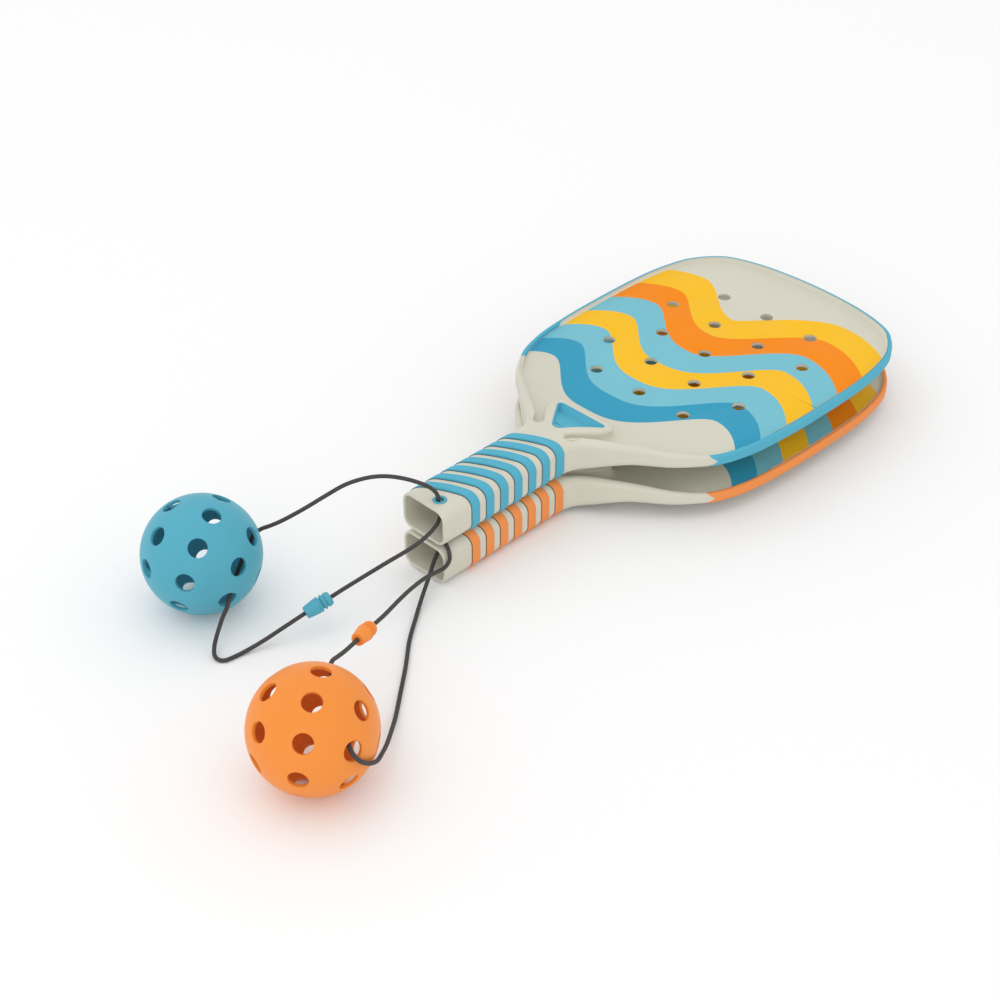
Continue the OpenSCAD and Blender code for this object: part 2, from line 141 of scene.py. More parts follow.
CORD_D = 2.6
CLASP_LEN = 18.0
CLASPS = {
    "blue": ((-88, 10.2, 15.1), (-71.5, 5.6, 20.7)),
    "orange": ((-107.8, -60.8, 49.2), (-91.6, -54.2, 45.2)),
}
ROUTES = {
    "blue": [
        (-60, 2.4, 24.6), (-35.4, -4.6, 32.4), (-22.3, -8.3, 36.2), (-13, -11.2, 40.2),
        (-6, -12.6, 44), (0.2, -11.8, 46.4), (4.6, -9.8, 47.9), (7.4, -7.3, 50), (8.4, -5.5, 53),
        (8.5, -4.9, 56), (8.3, -4.6, 60), (6.8, -3.3, 64), (3, -0.4, 68.4), (-4, 5.3, 73),
        (-11.4, 11.2, 76.2), (-18.7, 17.1, 77.5), (-26.4, 23.3, 76.5), (-35.4, 30.6, 72.6),
        (-45, 38.4, 65), (-55, 46.5, 56.6), (-65, 54.7, 49), (-71, 59.6, 45.4), (-77, 63.6, 43),
        (-84, 63, 40.4), (-98, 55.8, 35), (-112, 47.8, 29), (-118, 44.3, 24.2),
        (-121.8, 42.2, 20.2), (-126.6, 41, 15.8), (-132, 39, 10.2), (-137, 36.2, 6),
        (-140.2, 33.4, 3.8), (-142, 31, 2.2), (-142.6, 28.2, 1.6), (-141.9, 25.5, 1.4),
        (-140.3, 23.9, 1.4), (-138.4, 23, 1.4), (-128.5, 21.3, 1.7), (-115.3, 17.9, 5), (-101.8, 14.1, 10),
    ],
    "orange": [
        (-86, -52.1, 43.8), (-74, -47.2, 40.6), (-59, -41.2, 37.8), (-44, -35.2, 34.2),
        (-27.4, -28.4, 28.6), (-17.3, -24.6, 24.2), (-9, -21.8, 20.6), (-3.4, -20.9, 19.2),
        (0.6, -20.6, 20.4), (2.6, -20.4, 23.4), (3.4, -19.2, 26.6), (4.6, -16.6, 28.7),
        (6, -13, 29.3), (7.9, -8.7, 29.3), (8.8, -6.6, 28.7), (9.4, -5, 26.8), (9.6, -4.4, 24.1),
        (8.6, -5, 21.3), (6.2, -5.9, 18.8), (3, -6.9, 16.4), (-0.6, -8.4, 13.8), (-4.8, -10.5, 10.8),
        (-9.6, -12.8, 7.8), (-15.4, -15.9, 5.2), (-23, -20.5, 3), (-32, -26.7, 1.8), (-50, -40, 1.4),
        (-68, -56, 1.4), (-86, -71, 1.5), (-101.5, -84, 2.4), (-113.5, -94, 6.4),
        (-123.6, -102.8, 12), (-132, -110, 17), (-140.4, -116.6, 22), (-149.2, -122.8, 26.6),
        (-156.2, -126.2, 31.4), (-162.2, -127.5, 36.4), (-166.4, -127.2, 41.2), (-168, -124.6, 45.2),
        (-166.4, -119.4, 47.6), (-160.8, -108.6, 50), (-150, -91.4, 54.4), (-144, -81.4, 57.2),
        (-140.4, -76, 58.9), (-136, -72.6, 58.6), (-129.6, -69.6, 55.8), (-121.7, -66.3, 52.8),
    ],
}


def clasp_axis(hue):
    """The clasp's ball end, and its direction towards the grip."""
    ball_end, towards = (np.array(p, float) for p in CLASPS[hue])
    return ball_end, unit(towards - ball_end)


def cord_path(hue):
    """From the clasp's grip end round through the grommet and the ball to its ball end, each 1.6 mm."""
    ball_end, d = clasp_axis(hue)
    grip_end = ball_end + d * CLASP_LEN
    points = [grip_end, grip_end + d * CORD_D] + [np.array(p, float) for p in ROUTES[hue]]
    return evenly(smooth_line(points + [ball_end - d * CORD_D, ball_end], 8), 1.6)


def carried_frame(path):
    """Directions along a path, and across it without twist: each is the last less its part along it."""
    along = unit(np.gradient(path, axis=0))
    across = np.empty_like(path)
    last = unit(np.cross(along[0], (0.0, 0.0, 1.0)))
    for i, t in enumerate(along):
        last = last - t * last.dot(t)
        last /= np.linalg.norm(last)
        across[i] = last
    return along, across, np.cross(along, across)


# Meshes

def grid_faces(rows, columns, wrap_rows=False, wrap_columns=False):
    """Quads of a grid of rows by columns, whose vertex (i, j) is i * columns + j."""
    i = np.arange(rows if wrap_rows else rows - 1)[:, None]
    j = np.arange(columns if wrap_columns else columns - 1)[None, :]
    k, n = (i + 1) % rows, (j + 1) % columns
    corners = [i * columns + j, i * columns + n, k * columns + n, k * columns + j]
    return np.stack(corners, axis=-1).reshape(-1, 4)


class Shell:
    """Surfaces in millimetres that are joined where their edges meet."""

    def __init__(self):
        self.points, self.faces, self.count = [], [], 0

    def add(self, points, faces):
        self.points.append(np.asarray(points, float).reshape(-1, 3))
        self.faces += [tuple(int(v) + self.count for v in f) for f in faces]
        self.count += len(self.points[-1])

    def grid(self, points, wrap_rows=False, wrap_columns=False):
        """points is an array of rows by columns by 3."""
        rows, columns = points.shape[:2]
        self.add(points, grid_faces(rows, columns, wrap_rows, wrap_columns))

    def rings(self, rows):
        """Joins closed rings of points, each to the next. Returns the first and the last."""
        self.grid(np.array(rows), wrap_columns=True)
        return rows[0], rows[-1]

    def fan(self, ring):
        """Closes a ring of points with triangles to its middle."""
        n = len(ring)
        self.add(np.concatenate([ring, ring.mean(axis=0)[None]]), [(i, (i + 1) % n, n) for i in range(n)])

    def fill(self, loops, height, inner=()):
        """Lid within the first loop and outside the rest, at z = height(x), through the inner points."""
        loops = [np.asarray(l, float)[:, :2] for l in loops]
        flat = np.concatenate(loops + [np.asarray(inner, float).reshape(-1, 2)])
        edges, start = [], 0
        for loop in loops:
            n = len(loop)
            edges += [(start + i, start + (i + 1) % n) for i in range(n)]
            start += n
        found = geometry.delaunay_2d_cdt([Vector(p) for p in flat], edges, [], 0, 1e-6)
        verts = np.array([tuple(v) for v in found[0]])
        faces = np.array([f for f in found[2] if len(f) == 3])
        centres = verts[faces].mean(axis=1)
        faces = faces[inside(centres, loops)]
        self.add(np.column_stack([verts, height(verts[:, 0])]), faces)

    def finish(self, name, sharp=35.0, outward=True):
        """Makes the object: doubles merged, faces turned outwards, smooth up to the sharp angle."""
        mesh = bpy.data.meshes.new(name)
        mesh.from_pydata(in_frame(np.concatenate(self.points)).tolist(), [], self.faces)
        if outward:
            body = bmesh.new()
            body.from_mesh(mesh)
            bmesh.ops.remove_doubles(body, verts=body.verts, dist=1e-6)
            bmesh.ops.recalc_face_normals(body, faces=body.faces)
            body.to_mesh(mesh)
            body.free()
        mesh.polygons.foreach_set("use_smooth", np.ones(len(mesh.polygons), bool))
        mesh.set_sharp_from_angle(angle=math.radians(sharp))
        return add_object(name, mesh)


def inside(points, loops):
    """True where a line to the right of a point crosses the loops an odd number of times."""
    odd = np.zeros(len(points), bool)
    for loop in loops:
        a, b = loop, np.roll(loop, -1, axis=0)
        for s in range(0, len(a), 200):
            ax, ay, bx, by = (v[None, :] for v in (*a[s:s + 200].T, *b[s:s + 200].T))
            x, y = points[:, :1], points[:, 1:2]
            spans = (ay > y) != (by > y)
            with np.errstate(divide="ignore", invalid="ignore"):
                hit = spans & (x < ax + (y - ay) * (bx - ax) / (by - ay))
            odd ^= hit.sum(axis=1) % 2 == 1
    return odd


# Shader maths

class Wire:
    """A socket of a material; sums and products of it add Math nodes."""

    def __init__(self, finish, socket):
        self.finish, self.socket = finish, socket

    def math(self, operation, *others, swap=False):
        values = (*others, self) if swap else (self, *others)
        return self.finish.node("ShaderNodeMath", {"operation": operation}, dict(enumerate(values)))

    def __add__(self, other):
        return self.math("ADD", other)

    def __sub__(self, other):
        return self.math("SUBTRACT", other)

    def __rsub__(self, other):
        return self.math("SUBTRACT", other, swap=True)

    def __mul__(self, other):
        return self.math("MULTIPLY", other)

    def __pow__(self, other):
        return self.math("POWER", other)

    def above(self, other):
        return self.math("GREATER_THAN", other)

    def eased(self, start=0.0, end=1.0):
        settings = {"interpolation_type": "SMOOTHSTEP"}
        inputs = {"Value": self, "From Min": start, "From Max": end}
        return self.finish.node("ShaderNodeMapRange", settings, inputs)

    __radd__, __rmul__ = __add__, __mul__


class Finish:
    """One material with a Principled shader, and the one method that adds a node to it."""

    def __init__(self, name, **constants):
        self.material = bpy.data.materials.new(name)
        self.material.use_nodes = True
        self.tree = self.material.node_tree
        self.tree.nodes.clear()
        self.shader = self.tree.nodes.new("ShaderNodeBsdfPrincipled")
        output = self.tree.nodes.new("ShaderNodeOutputMaterial")
        self.tree.links.new(self.shader.outputs[0], output.inputs["Surface"])
        for socket, value in constants.items():
            self.shader.inputs[socket.replace("_", " ")].default_value = value

    def node(self, kind, settings=None, inputs=None, output=0):
        """Adds a node: its settings first, then the values or links of its sockets."""
        new = self.tree.nodes.new(kind)
        for key, value in (settings or {}).items():
            setattr(new, key, value)
        for key, value in (inputs or {}).items():
            if isinstance(value, Wire):
                self.tree.links.new(value.socket, new.inputs[key])
            else:
                new.inputs[key].default_value = value
        return Wire(self, new.outputs[output])

    def place(self, axis=None):
        """Object coordinates in metres, or one of them."""
        where = self.node("ShaderNodeTexCoord", output="Object")
        if axis is None:
            return where
        return self.node("ShaderNodeSeparateXYZ", inputs={0: where}, output=axis)

    def noise(self, scale, detail):
        inputs = {"Vector": self.place(), "Scale": scale, "Detail": detail}
        return self.node("ShaderNodeTexNoise", inputs=inputs)

    def mix(self, share, first, second):
        """Colour from first to second by share."""
        settings = {"data_type": "RGBA"}
        return self.node("ShaderNodeMix", settings, {0: share, 6: first, 7: second}, output=2)

    def bump(self, height, strength, distance):
        inputs = {"Height": height, "Strength": strength, "Distance": distance}
        return self.node("ShaderNodeBump", inputs=inputs)

    def feed(self, **sockets):
        for socket, wire in sockets.items():
            self.tree.links.new(wire.socket, self.shader.inputs[socket.replace("_", " ")])


def colour(red, green, blue):
    """Linear colour with alpha from eye colour in 0 to 255."""
    eye = np.array([red, green, blue]) / 255
    linear = np.where(eye <= 0.04045, eye / 12.92, ((eye + 0.055) / 1.055) ** 2.4)
    return (*linear.tolist(), 1.0)


def shaded(base, factor):
    """Each part of a colour times factor, up to 1."""
    return (*[min(1.0, c * factor) for c in base[:3]], 1.0)


CREAM = colour(216, 213, 197)
DARK_BLUE = colour(54, 159, 193)
LIGHT_BLUE = colour(122, 195, 211)
YELLOW = colour(252, 195, 36)
ORANGE = colour(250, 141, 14)
RUBBERS = {"blue": colour(84, 177, 203), "orange": colour(246, 150, 80)}
BALLS = {"blue": colour(84, 172, 194), "orange": colour(248, 148, 60)}
CORD_GREY = colour(72, 70, 68)


def moulded(name, base, roughness, grain=0.00002, mottle=0.025):
    """Moulded plastic or rubber: a fine spark grain as bump, and slow, faint clouds in colour and gloss."""
    finish = Finish(name, IOR=1.46, Specular_IOR_Level=0.3)
    clouds = finish.noise(14.0, 3.0)
    speckle = finish.noise(900.0, 2.0)
    finish.feed(
        Base_Color=finish.mix(clouds.eased(0.3, 0.7), shaded(base, 1 - mottle), shaded(base, 1 + mottle)),
        Roughness=(clouds - 0.5) * 0.12 + (speckle - 0.5) * 0.08 + roughness,
        Normal=finish.bump(speckle, 0.35, grain),
    )
    return finish.material


# Wave edges from the throat to the tip: trough at (x, y), then the crests at low and high y as (x, power).
WAVES = [
    ((157.3, 14.4), (207.0, 1.72), (189.1, 1.41)),
    ((180.9, 11.3), (232.5, 1.51), (213.6, 1.51)),
    ((206.8, 11.2), (258.6, 1.37), (239.3, 1.43)),
    ((233.4, 15.0), (285.2, 1.47), (264.8, 1.33)),
    ((258.5, 7.5), (309.8, 0.98), (290.0, 1.43)),
    ((285.6, 12.8), (335.5, 0.97), (315.7, 1.29)),
    ((311.6, 14.1), (358.9, 0.68), (341.6, 1.03)),
]
# From the first edge to the last the crests' y, and how fast an edge falls beyond them, change evenly.
LOW_CREST_Y, HIGH_CREST_Y = (-59.3, -49.2), (71.4, 65.6)
LOW_FALL, HIGH_FALL = (0.019, 0.008), (0.0336, 0.0125)


def printed(name):
    """Printed film. On each side of its trough a wave's edge is at trough + rise * smoothstep(u^power),
    where u runs from 0 at the trough to 1 at the crest. Beyond the crest it falls by fall * distance^2."""
    finish = Finish(name, IOR=1.48, Specular_IOR_Level=0.12)
    x = (finish.place("X") + REST_X * 0.001) * 1000.0
    y = finish.place("Y") * 1000.0
    bands = (DARK_BLUE, LIGHT_BLUE, YELLOW, LIGHT_BLUE, ORANGE, YELLOW, CREAM)
    paint = CREAM
    for k, (band, ((trough_x, trough_y), low, high)) in enumerate(zip(bands, WAVES)):
        share = k / (len(WAVES) - 1)
        edge = trough_x
        for side, crest_ys, (crest_x, power), falls in (
                (-1.0, LOW_CREST_Y, low, LOW_FALL), (1.0, HIGH_CREST_Y, high, HIGH_FALL)):
            crest_y, fall = (a + (b - a) * share for a, b in (crest_ys, falls))
            reach = abs(crest_y - trough_y)
            u = ((y - trough_y) * (side / reach)).math("MAXIMUM", 0.0).math("MINIMUM", 1.0)
            beyond = ((y - crest_y) * side).math("MAXIMUM", 0.0)
            edge = (u ** power).eased() * (crest_x - trough_x) - beyond * beyond * fall + edge
        paint = finish.mix((x - edge).above(0.0), paint, band)
    clouds = finish.noise(11.0, 2.0)
    peel = finish.noise(420.0, 1.0)
    tone = finish.mix(clouds.eased(0.3, 0.7), (0.965, 0.965, 0.965, 1.0), (1.0, 1.0, 1.0, 1.0))
    settings = {"data_type": "RGBA", "blend_type": "MULTIPLY"}
    finish.feed(
        Base_Color=finish.node("ShaderNodeMix", settings, {0: 1.0, 6: paint, 7: tone}, output=2),
        Roughness=(clouds - 0.5) * 0.1 + 0.46,
        Normal=finish.bump(peel, 0.25, 0.00003),
    )
    return finish.material


def braided(name, base):
    """Woven cover of two sets of strands: its height is sin(round + along) * sin(round - along)."""
    strands, pitch = 6, 2.4
    finish = Finish(name, IOR=1.45)
    where = finish.node("ShaderNodeTexCoord", output="UV")
    along = finish.node("ShaderNodeSeparateXYZ", inputs={0: where}, output="X")
    round_it = finish.node("ShaderNodeSeparateXYZ", inputs={0: where}, output="Y") * (2 * math.pi * strands)
    advance = along * (2 * math.pi / pitch * 2)
    weave = (round_it + advance).math("SINE") * (round_it - advance).math("SINE")
    fuzz = finish.noise(1500.0, 3.0)
    # The colour is painted shade in the dips between strands and painted highlight on their crests,
    # following the weave's height, with random fuzz in tone.
    finish.feed(
        Base_Color=finish.mix((weave * 0.5 + fuzz).eased(0.0, 1.1), shaded(base, 0.62), shaded(base, 1.3)),
        Roughness=fuzz * 0.2 + 0.62,
        Normal=finish.bump(weave + fuzz * 0.6, 0.6, 0.00012),
    )
    return finish.material


CREAM_PLASTIC = moulded("cream_moulding", CREAM, 0.5)
RUBBER = {hue: moulded(f"{hue}_rubber", RUBBERS[hue], 0.62, grain=0.00003) for hue in LEVELS}
BALL_PLASTIC = {hue: moulded(f"{hue}_ball_plastic", BALLS[hue], 0.42) for hue in LEVELS}
# Dark brown strip painted as the shadow in the gap at each band's butt side.
PAINTED_GAP_SHADOW = moulded("painted_gap_shadow", colour(92, 84, 76), 0.7)
PRINT = printed("wave_print")
COVER = braided("braided_cover", CORD_GREY)


def dress(thing, body, material, node, slot):
    """Gives a piece its material, hides the CAD node it stands for and puts it on the body it rides on. The
    slot is not used.
    """
    thing.data.materials.append(material)
    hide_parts(node)
    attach(thing, body)
    return thing


# Cords' tubes

def cord_tube(hue, sides=14):
    """Tube: path + radius * (cos a * across + sin a * over). UV is millimetres along by turns round."""
    path = cord_path(hue)
    along, across, over = carried_frame(path)
    a = np.linspace(0, 2 * math.pi, sides, endpoint=False)[None, :, None]
    shell = Shell()
    shell.rings(path[:, None] + CORD_D / 2 * (np.cos(a) * across[:, None] + np.sin(a) * over[:, None]))
    faces = np.array(shell.faces)
    shell.faces += [tuple(range(sides))[::-1], tuple(range(shell.count - sides, shell.count))]
    tube = shell.finish(f"{hue}_elastic_cord", outward=False)
    u = np.repeat(distances(path), sides)
    layer = tube.data.uv_layers.new(name="along")
    turns = ((np.arange(len(faces)) % sides)[:, None] + np.array([0, 1, 1, 0])[None, :]) / sides
    uv = np.stack([u[faces], turns], axis=-1).reshape(-1, 2)
    caps = np.zeros((len(tube.data.loops) - len(uv), 2))
    layer.data.foreach_set("uv", np.concatenate([uv, caps]).ravel())
    return tube, path


# Two distances from the grommet along the line to the ball, for each cord.
CORD_SPANS = {"blue": (5.0, 70.0), "orange": (20.0, 108.0)}
GROMMET_AT = np.array([9.2, -5.4])
BALL_AT = {"blue": np.array([-112.3, 76.2, 37.0]), "orange": np.array([-165.3, -88.5, 37.0])}


def lay_cord(hue):
    """The cord's tube in its braided cover, in place of its CAD node. Points between the grip and the loop
    on the line from the grommet to the ball are worked out but not used.
    """
    tube, path = cord_tube(hue)
    tube.data.materials.append(COVER)
    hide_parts(f"{hue}_cord")
    towards = unit(BALL_AT[hue][:2] - GROMMET_AT)
    start, end = (np.append(GROMMET_AT + towards * span, path[:, 2].mean()) for span in CORD_SPANS[hue])
    tuple(in_frame(start))
    tuple(in_frame(end))
    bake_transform(tube)
    return tube, path


cords = {hue: lay_cord(hue) for hue in LEVELS}


# Outline and heights of a paddle

LENGTH, HALF_W = 388.5, 100.5
GRIP_W, GRIP_R, WALL = 37.3, 7.6, 2.1
GRIP_LOW, GRIP_TOP = 1.5, 27.8
MID_Z, HALF_RIM = 14.65, 3.9
RIM_LOW, RIM_TOP = MID_Z - HALF_RIM, MID_Z + HALF_RIM
BACK_Z, FACE_Z = 13.35, 15.95
ARM_W, RIM_W = 6.4, 3.3
# Spans of x in which hub and arms come down to the rim, the underside comes up to it, and the floor of the
# valleys comes down to the face by its rise.
SLOPE, UNDER_SLOPE, VALLEY_SLOPE = (118, 176), (102, 137), (113, 150)
VALLEY_RISE = 6.5
# The guard's chevron, and the skin by which the moulding stays inside the guard.
CHEVRON_X, CHEVRON = 170.5, 5.0
COVER_START = (169.6, 170.4)
SKIN = 0.15
OUTLINE_SHARES = [
    (0.299, 0.267), (0.325, 0.404), (0.361, 0.573), (0.388, 0.695), (0.424, 0.805), (0.457, 0.885),
    (0.494, 0.934), (0.539, 0.968), (0.619, 0.993), (0.699, 1.000), (0.769, 0.998), (0.830, 0.982),
    (0.888, 0.938), (0.920, 0.886), (0.947, 0.810), (0.969, 0.711), (0.986, 0.526), (0.996, 0.298),
    (1.000, 0.000),
]
NECK = [(98.0, 18.65), (103.5, 19.1), (108.0, 20.1), (112.0, 22.2)]
MIRROR = np.array([1.0, -1.0])
half_nodes = np.concatenate([NECK, np.array(OUTLINE_SHARES) * (LENGTH, HALF_W)])
outline = smooth_line(np.concatenate([half_nodes, half_nodes[-2::-1] * MIRROR]), 10)


def facing_in(line):
    """Direction to the right of travel, into the blade, as the outline runs round from +y to -y."""
    d = unit(np.gradient(line, axis=0))
    return np.stack([d[:, 1], -d[:, 0]], axis=-1)


def loop_facing(loop):
    """Direction to the right of travel at each point of a closed loop."""
    d = unit(np.roll(loop, -1, axis=0) - np.roll(loop, 1, axis=0))
    return np.stack([d[:, 1], -d[:, 0]], axis=-1)


inward = facing_in(outline)


def top_at(x):
    """Height of hub, arms and rim: the grip's top, eased down to the rim's."""
    return GRIP_TOP + (RIM_TOP - GRIP_TOP) * ease(x, *SLOPE)


def low_at(x):
    """Height of the underside: the grip's, eased up to the rim's."""
    return GRIP_LOW + (RIM_LOW - GRIP_LOW) * ease(x, *UNDER_SLOPE)


def floor_at(x):
    """Height of the hollow's floor: the face's, eased up towards the neck."""
    return FACE_Z + VALLEY_RISE * (1 - ease(x, *VALLEY_SLOPE))


def rim_at(x):
    """Width of an arm, eased to the rim's."""
    return ARM_W + (RIM_W - ARM_W) * ease(x, *SLOPE)


def under_guard(x):
    """1 where the soft guard covers the moulding, 0 before it."""
    return ease(x, *COVER_START)


# Cream moulding

# The hub's end is straight between two corners with this middle, radius and turn in degrees. A valley runs
# from the arm's side round its blind end to the hub's side.
HUB_CORNER, HUB_CORNER_R, HUB_CORNER_TURN = (142.5, 19.0), 6, 118
VALLEY = [
    (117.6, 19.4), (113.6, 18.0), (111.8, 15.2), (112.4, 12.2), (115.0, 10.6), (119.0, 12.9), (123.5, 16.6),
    (128.8, 20.8), (135.6, 24.3),
]
ARM_START_X = 119.5
HOLE_R, HOLE_STEP, HOLE_ROWS = 4.5, 38.7, (3, 4, 3, 4, 3)
FIRST_SHARE, LAST_SHARE = 0.5086, 0.8537
HOLES = [
    (LENGTH * (FIRST_SHARE + (LAST_SHARE - FIRST_SHARE) * i / 4), HOLE_STEP * (j - (count - 1) / 2))
    for i, count in enumerate(HOLE_ROWS) for j in range(count)
]
SEAT_DEPTH, BORE_R, HOLLOW_END = 10.9, 4.5, 105.2


def hollow_loop(gap=0.0):
    """Outline of the hollow in the face: round the hub, down both valleys and along the arms and rim."""
    arms = outline + inward * (rim_at(outline[:, 0]) + gap)[:, None]
    arms = arms[arms[:, 0] > ARM_START_X][::3]
    upper = np.concatenate([arc(HUB_CORNER, HUB_CORNER_R, 0, HUB_CORNER_TURN, 11), VALLEY[::-1]])
    hub_end = evenly(np.array([upper[0] * MIRROR, upper[0]]), 2.0)[1:-1]
    loop = smooth_line(np.concatenate([upper, arms, upper[::-1] * MIRROR, hub_end]), 3, closed=True)
    line = np.concatenate([loop, loop[:1]])
    total = distances(line)[-1]
    loop = at_distances(line, np.linspace(0, total, round(total / 1.1), endpoint=False))
    into = loop_facing(loop)
    return loop + into * gap, into


def arc(centre, radius, start, end, steps):
    """Points of an arc between two angles in degrees."""
    a = np.radians(np.linspace(start, end, steps))
    return np.asarray(centre, float) + radius * np.stack([np.cos(a), np.sin(a)], axis=-1)


def circle(centre, radius, steps=40):
    """Points evenly round a circle: centre + radius * (cos a, sin a)."""
    a = np.linspace(0, 2 * math.pi, steps, endpoint=False)
    return np.asarray(centre, float) + radius * np.stack([np.cos(a), np.sin(a)], axis=-1)


def thumb_loop(depth, steps=12):
    """Rounded triangle of the thumb rest, drawn in by depth: arcs round its tip and both base corners."""
    tip_x, tip_r, base_x, base_y, base_r = 120.5, 5, 140.5, 17.0, 3
    reach = math.hypot(base_x - tip_x, base_y)
    half = math.degrees(math.atan2(base_y, base_x - tip_x) - math.asin((tip_r - base_r) / reach))
    line = np.concatenate([
        arc((base_x, -base_y), base_r - depth, -90 - half, 0, steps),
        arc((base_x, base_y), base_r - depth, 0, 90 + half, steps),
        arc((tip_x, 0), tip_r - depth, 90 + half, 270 - half, steps),
    ])
    line = np.concatenate([line, line[:1]])
    return at_distances(line, np.linspace(0, distances(line)[-1], 120, endpoint=False))


def loop_wall(shell, loop, into, top, low, round_top, round_low, steps=5, reach=None):
    """Wall of a hollow: a rounded top edge, the drop, and a foot that curves out by reach or its radius.
    Returns its top and foot rings."""
    r1, r2 = np.broadcast_to(round_top, len(loop)), np.broadcast_to(round_low, len(loop))
    reach = r2 if reach is None else reach
    rows = []
    for back, down in quarter(steps):
        at = loop - into * (r1 * back)[:, None]
        rows.append(np.column_stack([at, top(at[:, 0]) - r1 * down]))
    for rise, out in quarter(steps):
        at = loop + into * (reach * out)[:, None]
        rows.append(np.column_stack([at, low(at[:, 0]) + r2 * rise]))
    return shell.rings(rows)


def side_strip(top, low, r_top, r_low, steps=8):
    """(inset, z) of one side from the underside's flat to the top's: a corner, the side, a corner."""
    corner = quarter(steps)
    pairs = [(r_low * a, low + r_low * b) for a, b in corner]
    pairs += [(0.0, low + r_low + (top - r_top - low - r_low) * k / 5) for k in range(1, 5)]
    pairs += [(r_top * b, top - r_top * a) for a, b in corner]
    return np.array(pairs)


def grid_inside(x0, x1, half_y, step, loops, clear):
    """Points of a square grid that lie inside the loops and clear of their edges."""
    xs, ys = np.meshgrid(np.arange(x0, x1, step), np.arange(-half_y, half_y + step / 2, step))
    points = np.column_stack([xs.ravel(), ys.ravel()])
    points = points[inside(points, loops)]
    rims = np.concatenate(loops)
    rims = rims[(rims[:, 0] > x0 - 5) & (rims[:, 0] < x1 + 5)]
    near = np.array([np.min(np.hypot(*(rims - p).T)) for p in points])
    return points[near > clear]


def outer_side(shell, up):
    """side_strip carried round from butt to butt, its corners shrinking from the grip's to the rim's.
    Returns its rows."""
    straight = np.linspace(WALL / 2, 96, 12)
    grip_side = np.column_stack([straight, np.full(len(straight), GRIP_W / 2)])
    plan = np.concatenate([grip_side, outline, grip_side[::-1] * MIRROR])
    x = plan[:, 0]
    across = np.stack([np.zeros(len(x)), -np.sign(plan[:, 1] + 1e-9)], axis=-1)
    turn = ease(x, 108, 117)[:, None]
    normal = unit(across * (1 - turn) + facing_in(plan) * turn)
    cover = under_guard(x)
    plan = plan + normal * (SKIN * cover)[:, None]
    arm_top_r, arm_low_r, top_r_loss, low_r_loss = 4.0, 6.0, 2.2, 3.8
    r_top = GRIP_R + (arm_top_r - GRIP_R) * ease(x, 104, 118) - top_r_loss * ease(x, *SLOPE)
    r_low = GRIP_R + (arm_low_r - GRIP_R) * ease(x, 104, 114) - low_r_loss * ease(x, 130, 176)
    tops, lows = top_at(x) - SKIN * cover, low_at(x) + SKIN * cover
    rows = []
    for p, n, *sizes in zip(plan, normal, tops, lows, r_top, r_low):
        strip = side_strip(*sizes)
        rows.append(np.column_stack([p + n * strip[:, :1], strip[:, 1] + up]))
    rows = np.array(rows)
    shell.grid(rows)
    return rows


def grip_ring(x, inset, up):
    """Section of the grip, drawn in by inset: side, top, side and underside. Returns it, its top and its
    underside."""
    strip = side_strip(GRIP_TOP - inset, GRIP_LOW + inset, GRIP_R - inset, GRIP_R - inset)
    y = GRIP_W / 2 - inset - strip[:, 0]
    side = np.column_stack([np.full(len(y), x), y, strip[:, 1] + up])
    other = side[::-1] * (1, -1, 1)
    share = np.linspace(0, 1, 11)[1:-1, None]
    top = side[-1] + (other[0] - side[-1]) * share
    under = other[-1] + (side[0] - other[-1]) * share
    return np.concatenate([side, top, other, under]), top, under


def grip_hollow(shell, up):
    """Half-round lip of the butt, and the hollow behind it up to the neck."""
    lip = WALL / 2
    half_turn = np.radians(np.linspace(0, 180, 13))
    places = [(lip, 0.0)] + [(lip - lip * math.sin(a), lip * (1 - math.cos(a))) for a in half_turn[1:]]
    places += [(x, WALL) for x in (12, 30, 60, 90, HOLLOW_END)]
    _, end = shell.rings([grip_ring(x, inset, up)[0] for x, inset in places])
    shell.fan(end)


def face_hollow(shell, top, up):
    """Wall of the hollow in the face: rounder edges on the hub, and on the arms a foot that reaches far."""
    loop, into = hollow_loop()
    loop = loop - into * (SKIN * under_guard(loop[:, 0]))[:, None]
    x, from_middle = loop[:, 0], np.abs(loop[:, 1])
    hub_y, hub_flare = 14.5, 0.75
    hub_side = 1 - ease(from_middle - hub_y - hub_flare * (x - 112), -2, 1)
    hub_end = ease(x, 136, 145) * hub_side
    arm = ease(x, 126, 142) * (1 - ease(x, 150, 172)) * (1 - hub_side)
    edge_r = 1.7 - 0.9 * ease(x, 118, 170) + 1.0 * hub_side
    foot_r = 2.6 - 2.2 * ease(x, 125, 165) + 2.4 * hub_end
    drop = top_at(x) - floor_at(x) - edge_r
    foot_height, foot_reach = foot_r + (drop - foot_r) * arm, foot_r + 7.0 * arm
    return loop_wall(shell, loop, into, top, lambda v: floor_at(v) + up, edge_r, foot_height, 9, foot_reach)


def level(height):
    """Function of x that gives one height everywhere."""
    return lambda v: np.full(len(v), height)


def seat_and_bore(shell, top, up):
    """Seat of the thumb rest, and the hole of the grommet. Returns their top edges."""
    seat, seat_floor = thumb_loop(0.0), GRIP_TOP - SEAT_DEPTH + up
    seat_top, seat_low = loop_wall(shell, seat, -loop_facing(seat), top, level(seat_floor), 0.35, 0.0, 3)
    shell.fill([seat_low], level(seat_floor))
    bore = circle(GROMMET_AT, BORE_R)
    under_wall = GRIP_TOP - WALL - 1 + up
    into = unit(GROMMET_AT - bore)
    bore_top, bore_low = loop_wall(shell, bore, into, top, level(under_wall), 0.25, 0.0, 2)
    shell.fan(bore_low)
    return seat_top, bore_top


